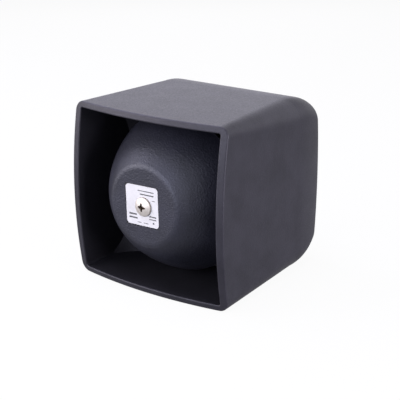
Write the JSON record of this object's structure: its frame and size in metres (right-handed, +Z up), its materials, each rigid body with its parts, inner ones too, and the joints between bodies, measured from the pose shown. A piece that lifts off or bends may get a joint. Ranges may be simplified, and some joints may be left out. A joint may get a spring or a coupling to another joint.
{
  "type": "horn speaker",
  "caption": "Compact square re-entrant horn speaker with a round reflector dome in its mouth, a driver sealed behind it, threaded rear mounts and a rear cable inlet.",
  "frame": {"origin": "on the underside, below the middle of the whole depth from the screw head to the inlet's cap", "axes": "+Z up, mouth faces -Y, +Y towards the rear cover, +X to the right seen from the front"},
  "size_m": [0.1526, 0.1687, 0.15],
  "materials": {
    "charcoal_nylon": "satin-matt, finely grained",
    "label_film": "matt",
    "plated_screw": "bright plated",
    "insert_brass": "turned",
    "horn_plastic": "moulded",
    "gasket_rubber": "matt",
    "cast_aluminium": "as cast",
    "phenolic_dome": "pressed",
    "surround_cloth": "impregnated cloth",
    "former_film": "smooth film",
    "coil_copper": "lacquered wire",
    "zinc_steel": "zinc plated",
    "ferrite": "sintered",
    "terminal_plastic": "moulded",
    "terminal_brass": "tinned",
    "gland_plastic": "satin",
    "gland_rubber": "matt"
  },
  "bodies": {
    "speaker": {"horn_housing": "charcoal_nylon", "reflector_dome": "charcoal_nylon", "label_plate": "label_film", "reflector_screw": "plated_screw", "reflector_insert": "insert_brass", "tone_tube": "horn_plastic", "throat_gasket": "gasket_rubber", "driver_cap": "cast_aluminium", "phase_plug": "horn_plastic", "surround": "surround_cloth", "diaphragm_gasket": "gasket_rubber", "diaphragm_spacer": "cast_aluminium", "top_plate": "zinc_steel", "magnet": "ferrite", "back_plate": "zinc_steel", "terminal_block": "terminal_plastic", "terminals": "terminal_brass", "driver_bolts": "zinc_steel", "driver_bolt_washers": "zinc_steel", "driver_inserts": "insert_brass", "rear_cover": "charcoal_nylon", "cover_gasket": "gasket_rubber", "cover_screws": "plated_screw", "mount_inserts": "insert_brass", "inlet_body": "gland_plastic", "inlet_seal": "gland_rubber", "inlet_cap": "gland_plastic", "inlet_locknut": "gland_plastic"},
    "moving_coil": {"diaphragm": "phenolic_dome", "coil_former": "former_film", "voice_coil": "coil_copper"}
  },
  "joints": [
    {"name": "diaphragm_travel", "type": "slide", "parent": "speaker", "child": "moving_coil", "axis": [0, 1, 0], "range_m": [-0.0005, 0.0005], "stiffness_N_per_m": 1000, "deforming": ["surround"]}
  ]
}
